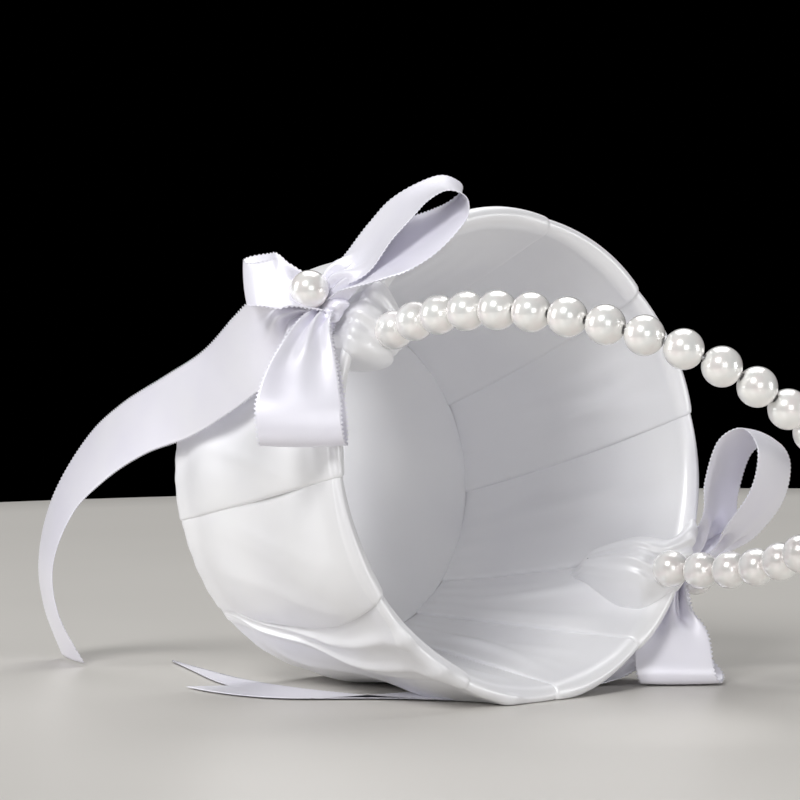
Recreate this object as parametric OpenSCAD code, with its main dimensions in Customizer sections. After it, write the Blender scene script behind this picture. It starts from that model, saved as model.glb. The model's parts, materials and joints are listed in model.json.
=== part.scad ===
// Flower girl basket: a satin-covered cup lying on its side, with a beaded wire
// handle and two ribbon bows. Millimetres. +Z is up and the table is z = 0.
// The cup's axis runs towards -Y, from its base to its mouth.

/* [Cup] */
// Outside diameter of the mouth, over the satin
mouth_d = 156.8; // [156:0.2:158]
// Outside diameter of the base, over the satin
base_d = 132; // [131:0.2:133]
// Depth of the cup along its axis
cup_h = 97; // [96:0.5:98]
// Thickness of the stiff shell inside the satin
shell_t = 1.4; // [1.2:0.1:1.6]
// Thickness of one layer of satin with its backing
satin_t = 0.9; // [0.7:0.1:1]
// How far the satin lies back from the rim roll and the base hem
recess = 1.6; // [1.4:0.1:1.8]
// Radius of the round padded floor inside the cup
floor_r = 55.6; // [54:0.2:56]

/* [Handle] */
// Diameter of one handle pearl
pearl_d = 12; // [11.8:0.1:12]
// Distance from pearl to pearl along the wire
pearl_pitch = 12.1; // [12.1:0.05:12.2]
// Number of pearls on the handle
pearl_count = 28; // [28:1:28]
// Diameter of the handle wire
wire_d = 1.2; // [1:0.1:1.2]
// Hole through each pearl
pearl_hole_d = 2.3; // [2.3:0.1:2.5]
// How far each leg of the handle leans outwards
leg_lean = 12; // [11.5:0.5:12.5]
// Straight length of each leg, from its pivot
leg_len = 36; // [35:1:37]
// Distance of each wire eye from the cup's axis
pivot_r = 61.5; // [61:0.5:62]
// Depth of the handle's pivots below the rim
pivot_depth = 24; // [23:1:25]
// Roll of the line through both pivots, as the cup lies
handle_roll = 36; // [35:1:37]

/* [Pins] */
// Diameter of the pins that the handle turns on
pin_d = 2.4; // [2.2:0.1:2.6]
// Diameter of a pin's outer head
pin_head_d = 6.4; // [6:0.2:7]

/* [Bows] */
// Width of the ribbon
ribbon_w = 25; // [24:1:26]
// Thickness of the ribbon as a plain solid
ribbon_t = 0.8; // [0.6:0.1:0.8]
// Diameter of each bow's knot
knot_d = 14; // [13:0.5:14]
// Height of each bow's knot
knot_h = 6; // [5.5:0.5:6]
// Diameter of the pearl on each bow
bow_pearl_d = 12; // [11:0.5:12]
// How far the right bow sits round the rim from its handle root
right_bow_turn = 8; // [7:0.5:9]

/* [Hidden] */
$fn = 96;
mouth_r = mouth_d / 2;
base_r = base_d / 2;
cup_slope = (mouth_r - base_r) / cup_h;
tilt = atan(cup_slope);
base_height = base_r * cos(tilt);
running_gap = 0.06;
gap = 0.3;
// The whole part is moved by this much, so that the middle of its box is the origin.
centre_x = 0.275;
centre_y = 64.687;

// Where each pleat of satin starts around the rim, in degrees; they are laid by hand.
pleat_starts = [-243, -209, -177, -147, -114, -86, -56, -26, 8, 42, 75];
pleats = len(pleat_starts);
seam_gap = 0.15;
hem_h = 6;
hem_blend = 3;
board_t = 3;
lining_t = 2.6;
floor_z = 7;
// The wall's layers, measured inwards from the hems and along the axis from the base or rim.
shell_inset = 2.6;
shell_low = 2;
shell_top = cup_h - 3;
fold_t = 2.4;
turn_in = 3;
rim_out = 1.2;
rim_in = 3.8;
mouth_lining = 5;
lining_drop = 2;

// The handle: two leaning legs, two shoulder arcs and a crown, in one plane.
shoulder_a = 40;
first_pearl_s = 18.7;
half_len = first_pearl_s + (pearl_count - 1) * pearl_pitch / 2;
leg_x = pivot_r + leg_len * sin(leg_lean);
arc_rad = PI / 180;
lean_cut = (cos(leg_lean) - cos(shoulder_a)) / cos(shoulder_a);
crown_a = 90 - shoulder_a;
shoulder_r = (half_len - leg_len - leg_x / cos(shoulder_a) * crown_a * arc_rad)
    / ((leg_lean + shoulder_a) * arc_rad - lean_cut * crown_a * arc_rad);
crown_r = leg_x / cos(shoulder_a) - shoulder_r * lean_cut;
shoulder_x = leg_x - shoulder_r * cos(leg_lean);
shoulder_z = leg_len * cos(leg_lean) + shoulder_r * sin(leg_lean);
crown_z = shoulder_z + (shoulder_r - crown_r) * sin(shoulder_a);
shoulder_len = shoulder_r * (leg_lean + shoulder_a) * arc_rad;
pivot_z = cup_h - pivot_depth;
eye_r = 3;
eye_t = 1.6;
bow_z = cup_h - 9;
knot_r0 = mouth_r + 1.2;

// Ribbon routes as the bows lie: middle of the ribbon, its side direction, its width share.
left_upper_route = [
    [[-66, -82, 135], [-.4, -.8, -.5], .4], [[-62, -89, 140], [-.4, -.9, -.3], .9],
    [[-58, -94, 148], [-.4, -.9, -.2], 1], [[-54, -99, 155], [-.4, -.9, -.2], 1],
    [[-50, -104, 160], [-.5, -.8, -.2], 1], [[-45, -109, 163], [-.6, -.8, -.2], 1],
    [[-41, -113, 161], [-.6, -.8, -.2], 1], [[-41, -114, 157], [-.6, -.8, -.3], 1],
    [[-44, -112, 153], [-.5, -.8, -.3], 1], [[-49, -108, 148], [-.5, -.7, -.5], 1],
    [[-54, -102, 144], [-.5, -.6, -.6], 1], [[-60, -95, 139], [-.6, -.6, -.5], .95],
    [[-65, -88, 132], [-.6, -.5, -.6], .4]];
left_back_route = [
    [[-77, -73, 135], [-.4, -.7, -.6], .4], [[-80, -70, 136], [-.5, -.7, -.5], .95],
    [[-83, -66, 136], [-.5, -.7, -.4], 1], [[-84, -62, 136], [-.5, -.7, -.4], 1],
    [[-82, -58, 137], [-.6, -.7, -.4], 1], [[-79, -58, 138], [-.5, -.7, -.4], 1],
    [[-76, -63, 138], [-.5, -.7, -.5], .95], [[-74, -68, 137], [-.5, -.7, -.6], .4]];
left_hanging_route = [
    [[-79, -87, 119], [.8, -.6, 0], .4], [[-86, -91, 108], [.8, -.6, 0], 1],
    [[-91, -95, 96], [.8, -.6, 0], 1], [[-91, -96, 87], [.8, -.6, 0], 1],
    [[-88, -94, 84], [.8, -.6, 0], 1], [[-86, -92, 90], [.8, -.6, 0], 1],
    [[-84, -90, 103], [.8, -.6, 0], .9], [[-77, -86, 116], [.8, -.6, 0], .4]];
left_tail_route = [
    [[-78, -72, 123], [.4, -.3, -.9], .4], [[-78, -65, 118], [.3, -.3, -.9], .9],
    [[-77, -52, 112], [.3, -.3, -.9], 1], [[-74, -33, 104], [.2, -.4, -.9], 1],
    [[-71, -8, 94], [0, -.6, -.8], 1], [[-69, 18, 84], [-.2, -.8, -.6], 1],
    [[-67, 42, 73], [-.3, -.8, -.5], 1], [[-66, 63, 56], [-.3, -.9, -.1], 1],
    [[-64, 76, 36], [-.4, -.9, 0], 1], [[-59, 80, 18], [-.4, -.9, 0], 1],
    [[-52, 77, 1], [-.3, -.9, 0], 1]];
right_upper_route = [
    [[80, -98, 46], [.9, .3, -.2], .4], [[80, -105, 54], [.9, .3, -.2], .9],
    [[77, -109, 65], [.9, .3, -.2], 1], [[79, -113, 78], [.9, .3, -.2], 1],
    [[85, -118, 82], [.9, .3, -.2], 1], [[89, -121, 75], [.9, .3, -.2], 1],
    [[89, -118, 62], [.9, .3, -.2], 1], [[86, -109, 50], [.9, .3, -.2], .9],
    [[85, -100, 45], [.9, .3, -.2], .4]];
right_lower_route = [
    [[67, -96, 24], [.8, -.6, .1], .4], [[62, -101, 16], [.8, -.6, .1], .9],
    [[58, -106, 7], [.8, -.6, 0], 1], [[59, -107, 2], [.8, -.6, 0], 1],
    [[63, -105, 1], [.8, -.6, 0], 1], [[68, -102, 4], [.8, -.6, 0], .9],
    [[71, -98, 14], [.8, -.6, 0], .4]];
right_tail_route = [
    [[68, -83, 16], [.2, -.9, .1], .4], [[61, -81, 9], [.1, -1, 0], .8],
    [[50, -79, 3], [0, -1, 0], 1], [[32, -78, .7], [0, -1, 0], 1],
    [[4, -78, .7], [0, -1, 0], 1], [[-22, -76, .7], [.2, -1, 0], 1],
    [[-40, -66, .7], [.8, -.7, 0], 1], [[-50, -48, .7], [1, -.3, 0], 1],
    [[-54, -24, .7], [1, 0, 0], 1], [[-52, 0, .7], [1, .1, 0], 1],
    [[-46, 24, .7], [1, .2, 0], 1]];

function pad2(k) = k < 10 ? str("0", k) : str(k);
strip_names = [for (k = [1:pleats]) str("satin_strip_", pad2(k))];
pearl_names = [for (k = [1:pearl_count]) str("handle_pearl_", pad2(k))];

// Outer radius over the hems at height z in the cup's own frame.
function cup_r(z) = base_r + cup_slope * z;
// Radius of the lining's inner face, which runs straight from the rim to the floor disc.
function lining_r(z) = floor_r + gap
    + (mouth_r - mouth_lining - floor_r - gap) * (z - floor_z) / (cup_h - lining_drop - floor_z);
// Outer radius of the stiff shell at height z.
function shell_r(z) = cup_r(z) - shell_inset;

// Puts something drawn in the cup's own frame, base at z = 0, where the cup lies.
module in_cup() {
    translate([centre_x, centre_y, base_height])
        rotate([90 - tilt, 0, 0])
            children();
}

// Puts something drawn about a pivot's own line, +Z outwards, at the left or right root.
module at_root(side, z) {
    rotate([0, 0, side < 0 ? 180 - handle_roll : -handle_roll])
        translate([0, 0, z])
            rotate([0, 90, 0])
                children();
}

// Puts something drawn about a bow's own line, +Z outwards.
module at_bow(side, z) {
    rotate([0, 0, side < 0 ? 0 : right_bow_turn])
        at_root(side, z)
            children();
}

module pin_holes() {
    for (side = [-1, 1])
        at_root(side, pivot_z)
            translate([0, 0, pivot_r])
                cylinder(r = pin_d / 2 + running_gap, h = mouth_r - pivot_r + 4);
}

module wall_shell() {
    color("ivory")
        in_cup()
            difference() {
                rotate_extrude()
                    polygon([
                        [shell_r(shell_low) - shell_t, shell_low], [shell_r(shell_low), shell_low],
                        [shell_r(shell_top), shell_top], [shell_r(shell_top) - shell_t, shell_top]]);
                pin_holes();
            }
}

module base_board() {
    color("burlywood")
        in_cup()
            translate([0, 0, satin_t + gap])
                cylinder(r = shell_r(shell_low) - shell_t - gap, h = board_t);
}

module base_lining() {
    color("gainsboro")
        in_cup()
            translate([0, 0, floor_z - lining_t])
                rotate_extrude()
                    union() {
                        square([floor_r - lining_t / 2, lining_t]);
                        translate([floor_r - lining_t / 2, lining_t / 2])
                            circle(d = lining_t);
                    }
}

module base_cover() {
    color("white")
        in_cup()
            cylinder(r = base_r - turn_in - gap, h = satin_t);
}

// One satin pleat: it covers the outside, goes over the rim and lines the inside.
module satin_strip(k) {
    first = pleat_starts[k];
    last = k + 1 < pleats ? pleat_starts[k + 1] : pleat_starts[0] + 360;
    inner_r = shell_t + shell_inset + 0.2;
    color(k % 2 == 0 ? "white" : "whitesmoke")
        in_cup()
            difference() {
                rotate([0, 0, first + seam_gap])
                    rotate_extrude(angle = last - first - 2 * seam_gap)
                        polygon([
                            [base_r - turn_in, 0], [cup_r(0), 0], [cup_r(hem_h), hem_h],
                            [cup_r(hem_h + hem_blend) - recess, hem_h + hem_blend],
                            [cup_r(cup_h - hem_h - hem_blend) - recess, cup_h - hem_h - hem_blend],
                            [cup_r(cup_h - hem_h), cup_h - hem_h], [cup_r(cup_h - 1), cup_h - 1],
                            [cup_r(cup_h) - rim_out, cup_h], [cup_r(cup_h) - rim_in, cup_h],
                            [lining_r(cup_h - lining_drop), cup_h - lining_drop], [lining_r(floor_z), floor_z],
                            [lining_r(floor_z), floor_z - satin_t], [lining_r(floor_z) + 1, floor_z - satin_t],
                            [cup_r(cup_h - 8) - inner_r, cup_h - 8],
                            [cup_r(shell_top + gap) - inner_r, shell_top + gap],
                            [cup_r(shell_top + gap) - fold_t, shell_top + gap],
                            [cup_r(shell_low) - fold_t, shell_low], [cup_r(1) - fold_t, 1],
                            [base_r - turn_in, 1]]);
                pin_holes();
            }
}

// One bend of the wire, from its start at angle 0, in the plane of the arch.
module wire_arc(r, angle) {
    end_gap = 0.1 / r / arc_rad;
    rotate([90, 0, 0])
        rotate([0, 0, end_gap])
        rotate_extrude(angle = angle - 2 * end_gap)
            translate([r, 0])
                circle(d = wire_d, $fn = 24);
}

// The wire's straight stretches and bends meet inside small joining beads.
module wire_joint() {
    sphere(d = wire_d + 0.3, $fn = 24);
}

module wire_eye() {
    rotate([0, 90, 0])
        translate([0, 0, -eye_t / 2])
            difference() {
                cylinder(r = eye_r, h = eye_t);
                translate([0, 0, -1])
                    cylinder(r = pin_d / 2 + running_gap, h = eye_t + 2);
            }
}

// One side of the handle wire, from its eye to the top of its shoulder.
module wire_side() {
    translate([pivot_r, 0, 0]) {
        wire_eye();
        rotate([0, leg_lean, 0]) {
            translate([0, 0, eye_r - 0.4])
                cylinder(d = wire_d, h = leg_len - eye_r + 0.3, $fn = 24);
            translate([0, 0, leg_len])
                wire_joint();
        }
    }
    translate([shoulder_x, 0, shoulder_z]) {
        rotate([0, leg_lean, 0])
            wire_arc(shoulder_r, leg_lean + shoulder_a);
        rotate([0, -shoulder_a, 0])
            translate([shoulder_r, 0, 0])
                wire_joint();
    }
}

module handle_wire() {
    color("silver")
        in_cup()
            rotate([0, 0, -handle_roll])
                translate([0, 0, pivot_z])
                    union() {
                        wire_side();
                        mirror([1, 0, 0])
                            wire_side();
                        translate([0, 0, crown_z])
                            rotate([0, -shoulder_a, 0])
                                wire_arc(crown_r, 2 * crown_a);
                    }
}

// Where the wire's centre line is after a run s from its eye: [outwards, height, lean from upright].
function arch_at(s) =
    s < leg_len ? [pivot_r + s * sin(leg_lean), s * cos(leg_lean), leg_lean]
    : s < leg_len + shoulder_len
        ? let (a = (s - leg_len) / shoulder_r / arc_rad - leg_lean)
            [shoulder_x + shoulder_r * cos(a), shoulder_z + shoulder_r * sin(a), -a]
        : let (a = shoulder_a + (s - leg_len - shoulder_len) / crown_r / arc_rad)
            [crown_r * cos(a), crown_z + crown_r * sin(a), -a];

module drilled_pearl(d, hole_d) {
    difference() {
        sphere(d = d);
        cylinder(d = hole_d, h = d + 2, center = true, $fn = 32);
    }
}

// Pearls are counted along the wire from the left root.
module handle_pearl(k) {
    s = first_pearl_s + k * pearl_pitch;
    from_left = s <= half_len;
    p = arch_at(from_left ? s : 2 * half_len - s);
    color("floralwhite")
        in_cup()
            rotate([0, 0, from_left ? 180 - handle_roll : -handle_roll])
                translate([p[0], 0, pivot_z + p[1]])
                    rotate([0, p[2], 0])
                        drilled_pearl(pearl_d, pearl_hole_d);
}

// The pin passes through the wall and the eye; its heads hold both.
module pivot_pin(side) {
    inner_head_t = 1;
    collar_len = lining_r(pivot_z) - pivot_r - eye_t / 2 - 2 * gap;
    color("silver")
        in_cup()
            at_root(side, pivot_z)
                union() {
                    translate([0, 0, pivot_r - eye_t / 2 - gap - inner_head_t])
                        cylinder(r = 2.2, h = inner_head_t);
                    translate([0, 0, pivot_r - eye_t / 2 - gap - inner_head_t])
                        cylinder(d = pin_d, h = cup_r(pivot_z) - pivot_r + 2);
                    translate([0, 0, pivot_r + eye_t / 2 + gap])
                        cylinder(r = 1.9, h = collar_len);
                    translate([0, 0, cup_r(pivot_z) - recess + 2 * gap])
                        cylinder(d = pin_head_d, h = 1.2);
                }
}

// The ribbon that ties a bow on goes over the rim.
module rim_wrap(side) {
    wrap_angle = 15;
    color("lavender")
        in_cup()
            rotate([0, 0, (side < 0 ? 180 - handle_roll : right_bow_turn - handle_roll) - wrap_angle / 2])
                rotate_extrude(angle = wrap_angle)
                    polygon([
                        [cup_r(cup_h - 16) + gap, cup_h - 16], [cup_r(cup_h - 16) + gap + satin_t, cup_h - 16],
                        [cup_r(cup_h) + gap + satin_t, cup_h - 0.6], [cup_r(cup_h) - 0.8, cup_h + 1.2],
                        [cup_r(cup_h) - 4.6, cup_h + 1.2], [cup_r(cup_h) - 4.6, cup_h + gap],
                        [cup_r(cup_h) - 1, cup_h + gap], [cup_r(cup_h) + gap, cup_h - 0.9]]);
}

module knot(side) {
    color("lavender")
        in_cup()
            at_bow(side, bow_z)
                translate([0, 0, knot_r0 + 0.6])
                    rotate_extrude()
                        polygon([
                            [0, 0], [knot_d / 2 - 1.5, 0], [knot_d / 2, 1.5], [knot_d / 2, knot_h - 1.5],
                            [knot_d / 2 - 1.5, knot_h], [0, knot_h]]);
}

module bow_pearl(side) {
    color("floralwhite")
        in_cup()
            at_bow(side, bow_z)
                translate([0, 0, knot_r0 + 0.6 + knot_h + 0.1 + bow_pearl_d / 2])
                    sphere(d = bow_pearl_d);
}

function unit(v) = v / norm(v);
// A smooth curve through four values, at share t between the middle two.
function between(a, b, c, d, t) =
    0.5 * (2 * b + (c - a) * t + (2 * a - 5 * b + 4 * c - d) * t * t + (3 * b - a - 3 * c + d) * t * t * t);
function along(route, i, j, t) =
    between(route[max(i - 1, 0)][j], route[i][j], route[i + 1][j], route[min(i + 2, len(route) - 1)][j], t);

// A flat ribbon swept along a route, as one closed solid.
module ribbon(route) {
    steps = 3;
    last = len(route) - 1;
    marks = concat([for (i = [0:last - 1], s = [0:steps - 1]) [i, s / steps]], [[last - 1, 1]]);
    mid = [for (m = marks) along(route, m[0], 0, m[1])];
    side = [for (m = marks) unit(along(route, m[0], 1, m[1]))];
    wide = [for (m = marks) ribbon_w * along(route, m[0], 2, m[1])];
    n = len(mid);
    way = [for (i = [0:n - 1]) unit(mid[min(i + 1, n - 1)] - mid[max(i - 1, 0)])];
    face = [for (i = [0:n - 1]) unit(cross(way[i], side[i]))];
    corners = [for (i = [0:n - 1], c = [[-1, -1], [1, -1], [1, 1], [-1, 1]])
        mid[i] + side[i] * c[0] * wide[i] / 2 + face[i] * c[1] * ribbon_t / 2];
    walls = [for (i = [0:n - 2], c = [0:3])
        [4 * i + c, 4 * i + (c + 1) % 4, 4 * i + 4 + (c + 1) % 4, 4 * i + 4 + c]];
    split = [for (f = walls, h = [0, 1]) h == 0 ? [f[0], f[1], f[2]] : [f[0], f[2], f[3]]];
    color("lavender")
        translate([centre_x, centre_y, 0])
            polyhedron(
                points = corners,
                faces = concat([[3, 2, 1, 0]], split, [[4 * n - 4, 4 * n - 3, 4 * n - 2, 4 * n - 1]]));
}

wall_shell();
base_board();
base_lining();
base_cover();
for (k = [0:pleats - 1])
    satin_strip(k);
handle_wire();
pivot_pin(-1);  // left_pivot_pin
pivot_pin(1);  // right_pivot_pin
for (k = [0:pearl_count - 1])
    handle_pearl(k);
rim_wrap(-1);  // left_rim_wrap
rim_wrap(1);  // right_rim_wrap
knot(-1);  // left_knot
knot(1);  // right_knot
bow_pearl(-1);  // left_bow_pearl
bow_pearl(1);  // right_bow_pearl
ribbon(left_upper_route);  // left_loop_upper
ribbon(left_back_route);  // left_loop_back
ribbon(left_hanging_route);  // left_loop_hanging
ribbon(left_tail_route);  // left_tail_long
ribbon(right_upper_route);  // right_loop_upper
ribbon(right_lower_route);  // right_loop_lower
ribbon(right_tail_route);  // right_tail_floor
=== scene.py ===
"""A flower girl basket: a satin cup lying on its side, with a beaded handle and two ribbon bows."""

import json
import logging
import math
import random
from dataclasses import dataclass, field
from enum import Enum
from typing import Sequence

import bmesh
import bpy
import numpy as np
from mathutils import Matrix, Vector


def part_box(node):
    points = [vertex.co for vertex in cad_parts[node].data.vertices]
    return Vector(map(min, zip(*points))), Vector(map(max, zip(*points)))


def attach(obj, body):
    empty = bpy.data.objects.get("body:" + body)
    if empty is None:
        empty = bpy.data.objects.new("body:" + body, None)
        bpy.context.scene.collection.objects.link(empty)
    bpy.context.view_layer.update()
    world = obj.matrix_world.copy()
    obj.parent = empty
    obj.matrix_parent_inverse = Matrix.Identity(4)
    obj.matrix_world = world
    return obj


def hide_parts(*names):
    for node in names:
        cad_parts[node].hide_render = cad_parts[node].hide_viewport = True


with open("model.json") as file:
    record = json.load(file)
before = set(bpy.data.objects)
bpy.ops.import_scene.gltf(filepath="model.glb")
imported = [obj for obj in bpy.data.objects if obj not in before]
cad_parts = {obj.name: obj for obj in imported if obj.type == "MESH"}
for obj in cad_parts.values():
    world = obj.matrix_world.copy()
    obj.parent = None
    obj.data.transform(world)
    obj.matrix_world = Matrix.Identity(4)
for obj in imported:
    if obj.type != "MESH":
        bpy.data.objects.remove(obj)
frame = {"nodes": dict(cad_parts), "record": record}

log = logging.getLogger("basket")
MM = 0.001
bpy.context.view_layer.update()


# ---------------------------------------------------------------- nodes and finishes


def linear(hex_colour: str, alpha: float = 1.0) -> tuple[float, float, float, float]:
    """Turns an sRGB hex colour into the linear values that a shader takes.

    Args:
        hex_colour: Six hex digits, with or without a leading #.
        alpha: The fourth value.

    Returns:
        Red, green, blue and alpha.
    """
    digits = hex_colour.lstrip("#")
    parts = [int(digits[i : i + 2], 16) / 255 for i in (0, 2, 4)]
    red, green, blue = (c / 12.92 if c <= 0.04045 else ((c + 0.055) / 1.055) ** 2.4 for c in parts)
    return red, green, blue, alpha


def add_node(tree: bpy.types.NodeTree, kind: str, inputs: dict | None = None, **settings: object) -> bpy.types.Node:
    """Adds one node with its settings, its input values and its links.

    Args:
        tree: The node tree that gets the node.
        kind: The node's type name.
        inputs: Input name or number to a value, or to the output socket that feeds it.
        **settings: Properties of the node itself.

    Returns:
        The new node.
    """
    node = tree.nodes.new(kind)
    for key, value in settings.items():
        setattr(node, key, value)
    for key, value in (inputs or {}).items():
        if isinstance(value, bpy.types.NodeSocket):
            tree.links.new(value, node.inputs[key])
        else:
            node.inputs[key].default_value = value
    return node


def ramp_stops(node: bpy.types.Node, stops: Sequence[tuple[float, str]]) -> None:
    """Sets a colour ramp's stops.

    Args:
        node: The colour ramp node.
        stops: Position and hex colour of each stop, in order; there are two or more.
    """
    elements = node.color_ramp.elements
    while len(elements) < len(stops):
        elements.new(1.0)
    for element, (place, colour) in zip(elements, stops):
        element.position = place
        element.color = linear(colour)


def new_tree(name: str) -> tuple[bpy.types.Material, bpy.types.NodeTree]:
    """Makes an empty node material and returns it with its tree."""
    material = bpy.data.materials.new(name)
    material.use_nodes = True
    material.node_tree.nodes.clear()
    return material, material.node_tree


def finish_tree(tree: bpy.types.NodeTree, shader: bpy.types.Node) -> None:
    """Feeds a shader to the material's output."""
    add_node(tree, "ShaderNodeOutputMaterial", {"Surface": shader.outputs[0]})


@dataclass(frozen=True)
class WovenSatin:
    """Polyester satin, woven with long floats and calendered.

    The floats give it a smooth face with a broad soft highlight and hardly any grain, and the cloth
    behind it shows as slow dents and a faint streak along the warp.
    """

    name: str
    light: str
    shade: str
    roughness: float = 0.42
    sheen: float = 0.25
    lustre: float = 0.16
    dent_mm: float = 14.0
    dent_depth_mm: float = 0.22
    # A real float is about 0.1 mm wide; it is drawn at 0.45 mm so that it shows at all.
    thread_mm: float = 0.45
    thread_run_mm: float = 9.0
    thread_depth_mm: float = 0.012

    def make(self) -> bpy.types.Material:
        """Builds the node material."""
        material, tree = new_tree(self.name)
        spot = add_node(tree, "ShaderNodeTexCoord")
        cloth = add_node(
            tree,
            "ShaderNodeMapping",
            {
                "Vector": spot.outputs["UV"],
                "Scale": (1 / (self.thread_mm * MM), 1 / (self.thread_run_mm * MM), 1.0),
            },
        )
        floats = add_node(tree, "ShaderNodeTexNoise", {"Vector": cloth.outputs[0], "Scale": 1.0, "Detail": 2.0})
        dents = add_node(
            tree,
            "ShaderNodeTexNoise",
            {"Vector": spot.outputs["Object"], "Scale": 1 / (self.dent_mm * MM), "Detail": 1.5, "Roughness": 0.4},
        )
        tint = add_node(
            tree,
            "ShaderNodeTexNoise",
            {"Vector": spot.outputs["Object"], "Scale": 1 / (3 * self.dent_mm * MM), "Detail": 2.0},
        )
        colour = add_node(tree, "ShaderNodeValToRGB", {"Fac": tint.outputs[0]})
        ramp_stops(colour, [(0.3, self.shade), (0.7, self.light)])
        slow = add_node(
            tree,
            "ShaderNodeBump",
            {"Height": dents.outputs[0], "Distance": self.dent_depth_mm * MM, "Strength": 1.0},
        )
        fine = add_node(
            tree,
            "ShaderNodeBump",
            {
                "Height": floats.outputs[0],
                "Distance": self.thread_depth_mm * MM,
                "Strength": 1.0,
                "Normal": slow.outputs[0],
            },
        )
        gloss = add_node(
            tree,
            "ShaderNodeMapRange",
            {"Value": floats.outputs[0], "To Min": self.roughness - 0.05, "To Max": self.roughness + 0.07},
        )
        shader = add_node(
            tree,
            "ShaderNodeBsdfPrincipled",
            {
                "Base Color": colour.outputs[0],
                "Roughness": gloss.outputs[0],
                "Normal": fine.outputs[0],
                "IOR": 1.55,
                "Specular IOR Level": 0.8,
                "Metallic": self.lustre,
                "Anisotropic": 0.35,
                "Sheen Weight": self.sheen,
                "Sheen Roughness": 0.4,
            },
        )
        finish_tree(tree, shader)
        return material


@dataclass(frozen=True)
class PearlLacquer:
    """A moulded acrylic bead dipped in pearl essence and clear lacquer.

    The essence gives a satiny cream body with faint pink and green clouds, and the lacquer over it
    mirrors the lamps sharply.
    """

    name: str = "acrylic_bead_dipped_in_pearl_essence"
    cloud_mm: float = 5.0
    # Flakes of essence are microns across; the mottling they leave is drawn at 0.5 mm.
    mottle_mm: float = 0.5
    mottle_depth_mm: float = 0.006

    def make(self) -> bpy.types.Material:
        """Builds the node material."""
        material, tree = new_tree(self.name)
        spot = add_node(tree, "ShaderNodeTexCoord")
        clouds = add_node(
            tree,
            "ShaderNodeTexNoise",
            {"Vector": spot.outputs["Object"], "Scale": 1 / (self.cloud_mm * MM), "Detail": 2.0},
        )
        colour = add_node(tree, "ShaderNodeValToRGB", {"Fac": clouds.outputs[0]})
        ramp_stops(colour, [(0.3, "#FAF3F1"), (0.5, "#FAF8F5"), (0.7, "#F4F5F3")])
        mottle = add_node(
            tree,
            "ShaderNodeTexNoise",
            {"Vector": spot.outputs["Object"], "Scale": 1 / (self.mottle_mm * MM), "Detail": 1.0},
        )
        bump = add_node(
            tree,
            "ShaderNodeBump",
            {"Height": mottle.outputs[0], "Distance": self.mottle_depth_mm * MM, "Strength": 1.0},
        )
        shader = add_node(
            tree,
            "ShaderNodeBsdfPrincipled",
            {
                "Base Color": colour.outputs[0],
                "Roughness": 0.24,
                "Metallic": 0.2,
                "IOR": 1.6,
                "Specular IOR Level": 0.8,
                "Normal": bump.outputs[0],
                "Coat Weight": 1.0,
                "Coat Roughness": 0.03,
                "Coat IOR": 1.6,
                "Sheen Weight": 0.15,
            },
        )
        finish_tree(tree, shader)
        return material


@dataclass(frozen=True)
class DrawnWire:
    """Steel wire drawn through a die: a fine grey mottle and a dull metal shine."""

    name: str = "drawn_steel_wire"
    line_mm: float = 0.2

    def make(self) -> bpy.types.Material:
        """Builds the node material."""
        material, tree = new_tree(self.name)
        spot = add_node(tree, "ShaderNodeTexCoord")
        lines = add_node(
            tree,
            "ShaderNodeTexNoise",
            {"Vector": spot.outputs["Object"], "Scale": 1 / (self.line_mm * MM), "Detail": 2.0},
        )
        colour = add_node(tree, "ShaderNodeValToRGB", {"Fac": lines.outputs[0]})
        ramp_stops(colour, [(0.3, "#A9A9AB"), (0.7, "#C6C6C8")])
        gloss = add_node(tree, "ShaderNodeMapRange", {"Value": lines.outputs[0], "To Min": 0.25, "To Max": 0.4})
        shader = add_node(
            tree,
            "ShaderNodeBsdfPrincipled",
            {"Base Color": colour.outputs[0], "Roughness": gloss.outputs[0], "Metallic": 1.0},
        )
        finish_tree(tree, shader)
        return material


@dataclass(frozen=True)
class GreyBoard:
    """Pressed pulp board: a matt, slightly mottled buff surface with short fibres."""

    name: str = "pressed_pulp_board"
    fibre_mm: float = 1.2

    def make(self) -> bpy.types.Material:
        """Builds the node material."""
        material, tree = new_tree(self.name)
        spot = add_node(tree, "ShaderNodeTexCoord")
        fibres = add_node(
            tree,
            "ShaderNodeTexNoise",
            {"Vector": spot.outputs["Object"], "Scale": 1 / (self.fibre_mm * MM), "Detail": 5.0},
        )
        colour = add_node(tree, "ShaderNodeValToRGB", {"Fac": fibres.outputs[0]})
        ramp_stops(colour, [(0.35, "#CFC6B2"), (0.65, "#E2DBCB")])
        bump = add_node(tree, "ShaderNodeBump", {"Height": fibres.outputs[0], "Distance": 0.05 * MM})
        shader = add_node(
            tree,
            "ShaderNodeBsdfPrincipled",
            {"Base Color": colour.outputs[0], "Roughness": 0.9, "Normal": bump.outputs[0]},
        )
        finish_tree(tree, shader)
        return material


@dataclass(frozen=True)
class LacqueredTop:
    """A pale lacquered board table: smooth, with a soft blurred reflection close to what stands on it."""

    name: str = "pale_lacquered_board"

    def make(self) -> bpy.types.Material:
        """Builds the node material."""
        material, tree = new_tree(self.name)
        spot = add_node(tree, "ShaderNodeTexCoord")
        clouds = add_node(tree, "ShaderNodeTexNoise", {"Vector": spot.outputs["Object"], "Scale": 3.0, "Detail": 3.0})
        colour = add_node(tree, "ShaderNodeValToRGB", {"Fac": clouds.outputs[0]})
        ramp_stops(colour, [(0.3, "#CDCAC5"), (0.7, "#D4D1CC")])
        shader = add_node(
            tree, "ShaderNodeBsdfPrincipled", {"Base Color": colour.outputs[0], "Roughness": 0.42}
        )
        finish_tree(tree, shader)
        return material


class Finish(Enum):
    """The basket's finishes, by what they dress."""

    SATIN = "satin"
    RIBBON = "ribbon"
    PEARL = "pearl"
    WIRE = "wire"
    BOARD = "board"


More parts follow.
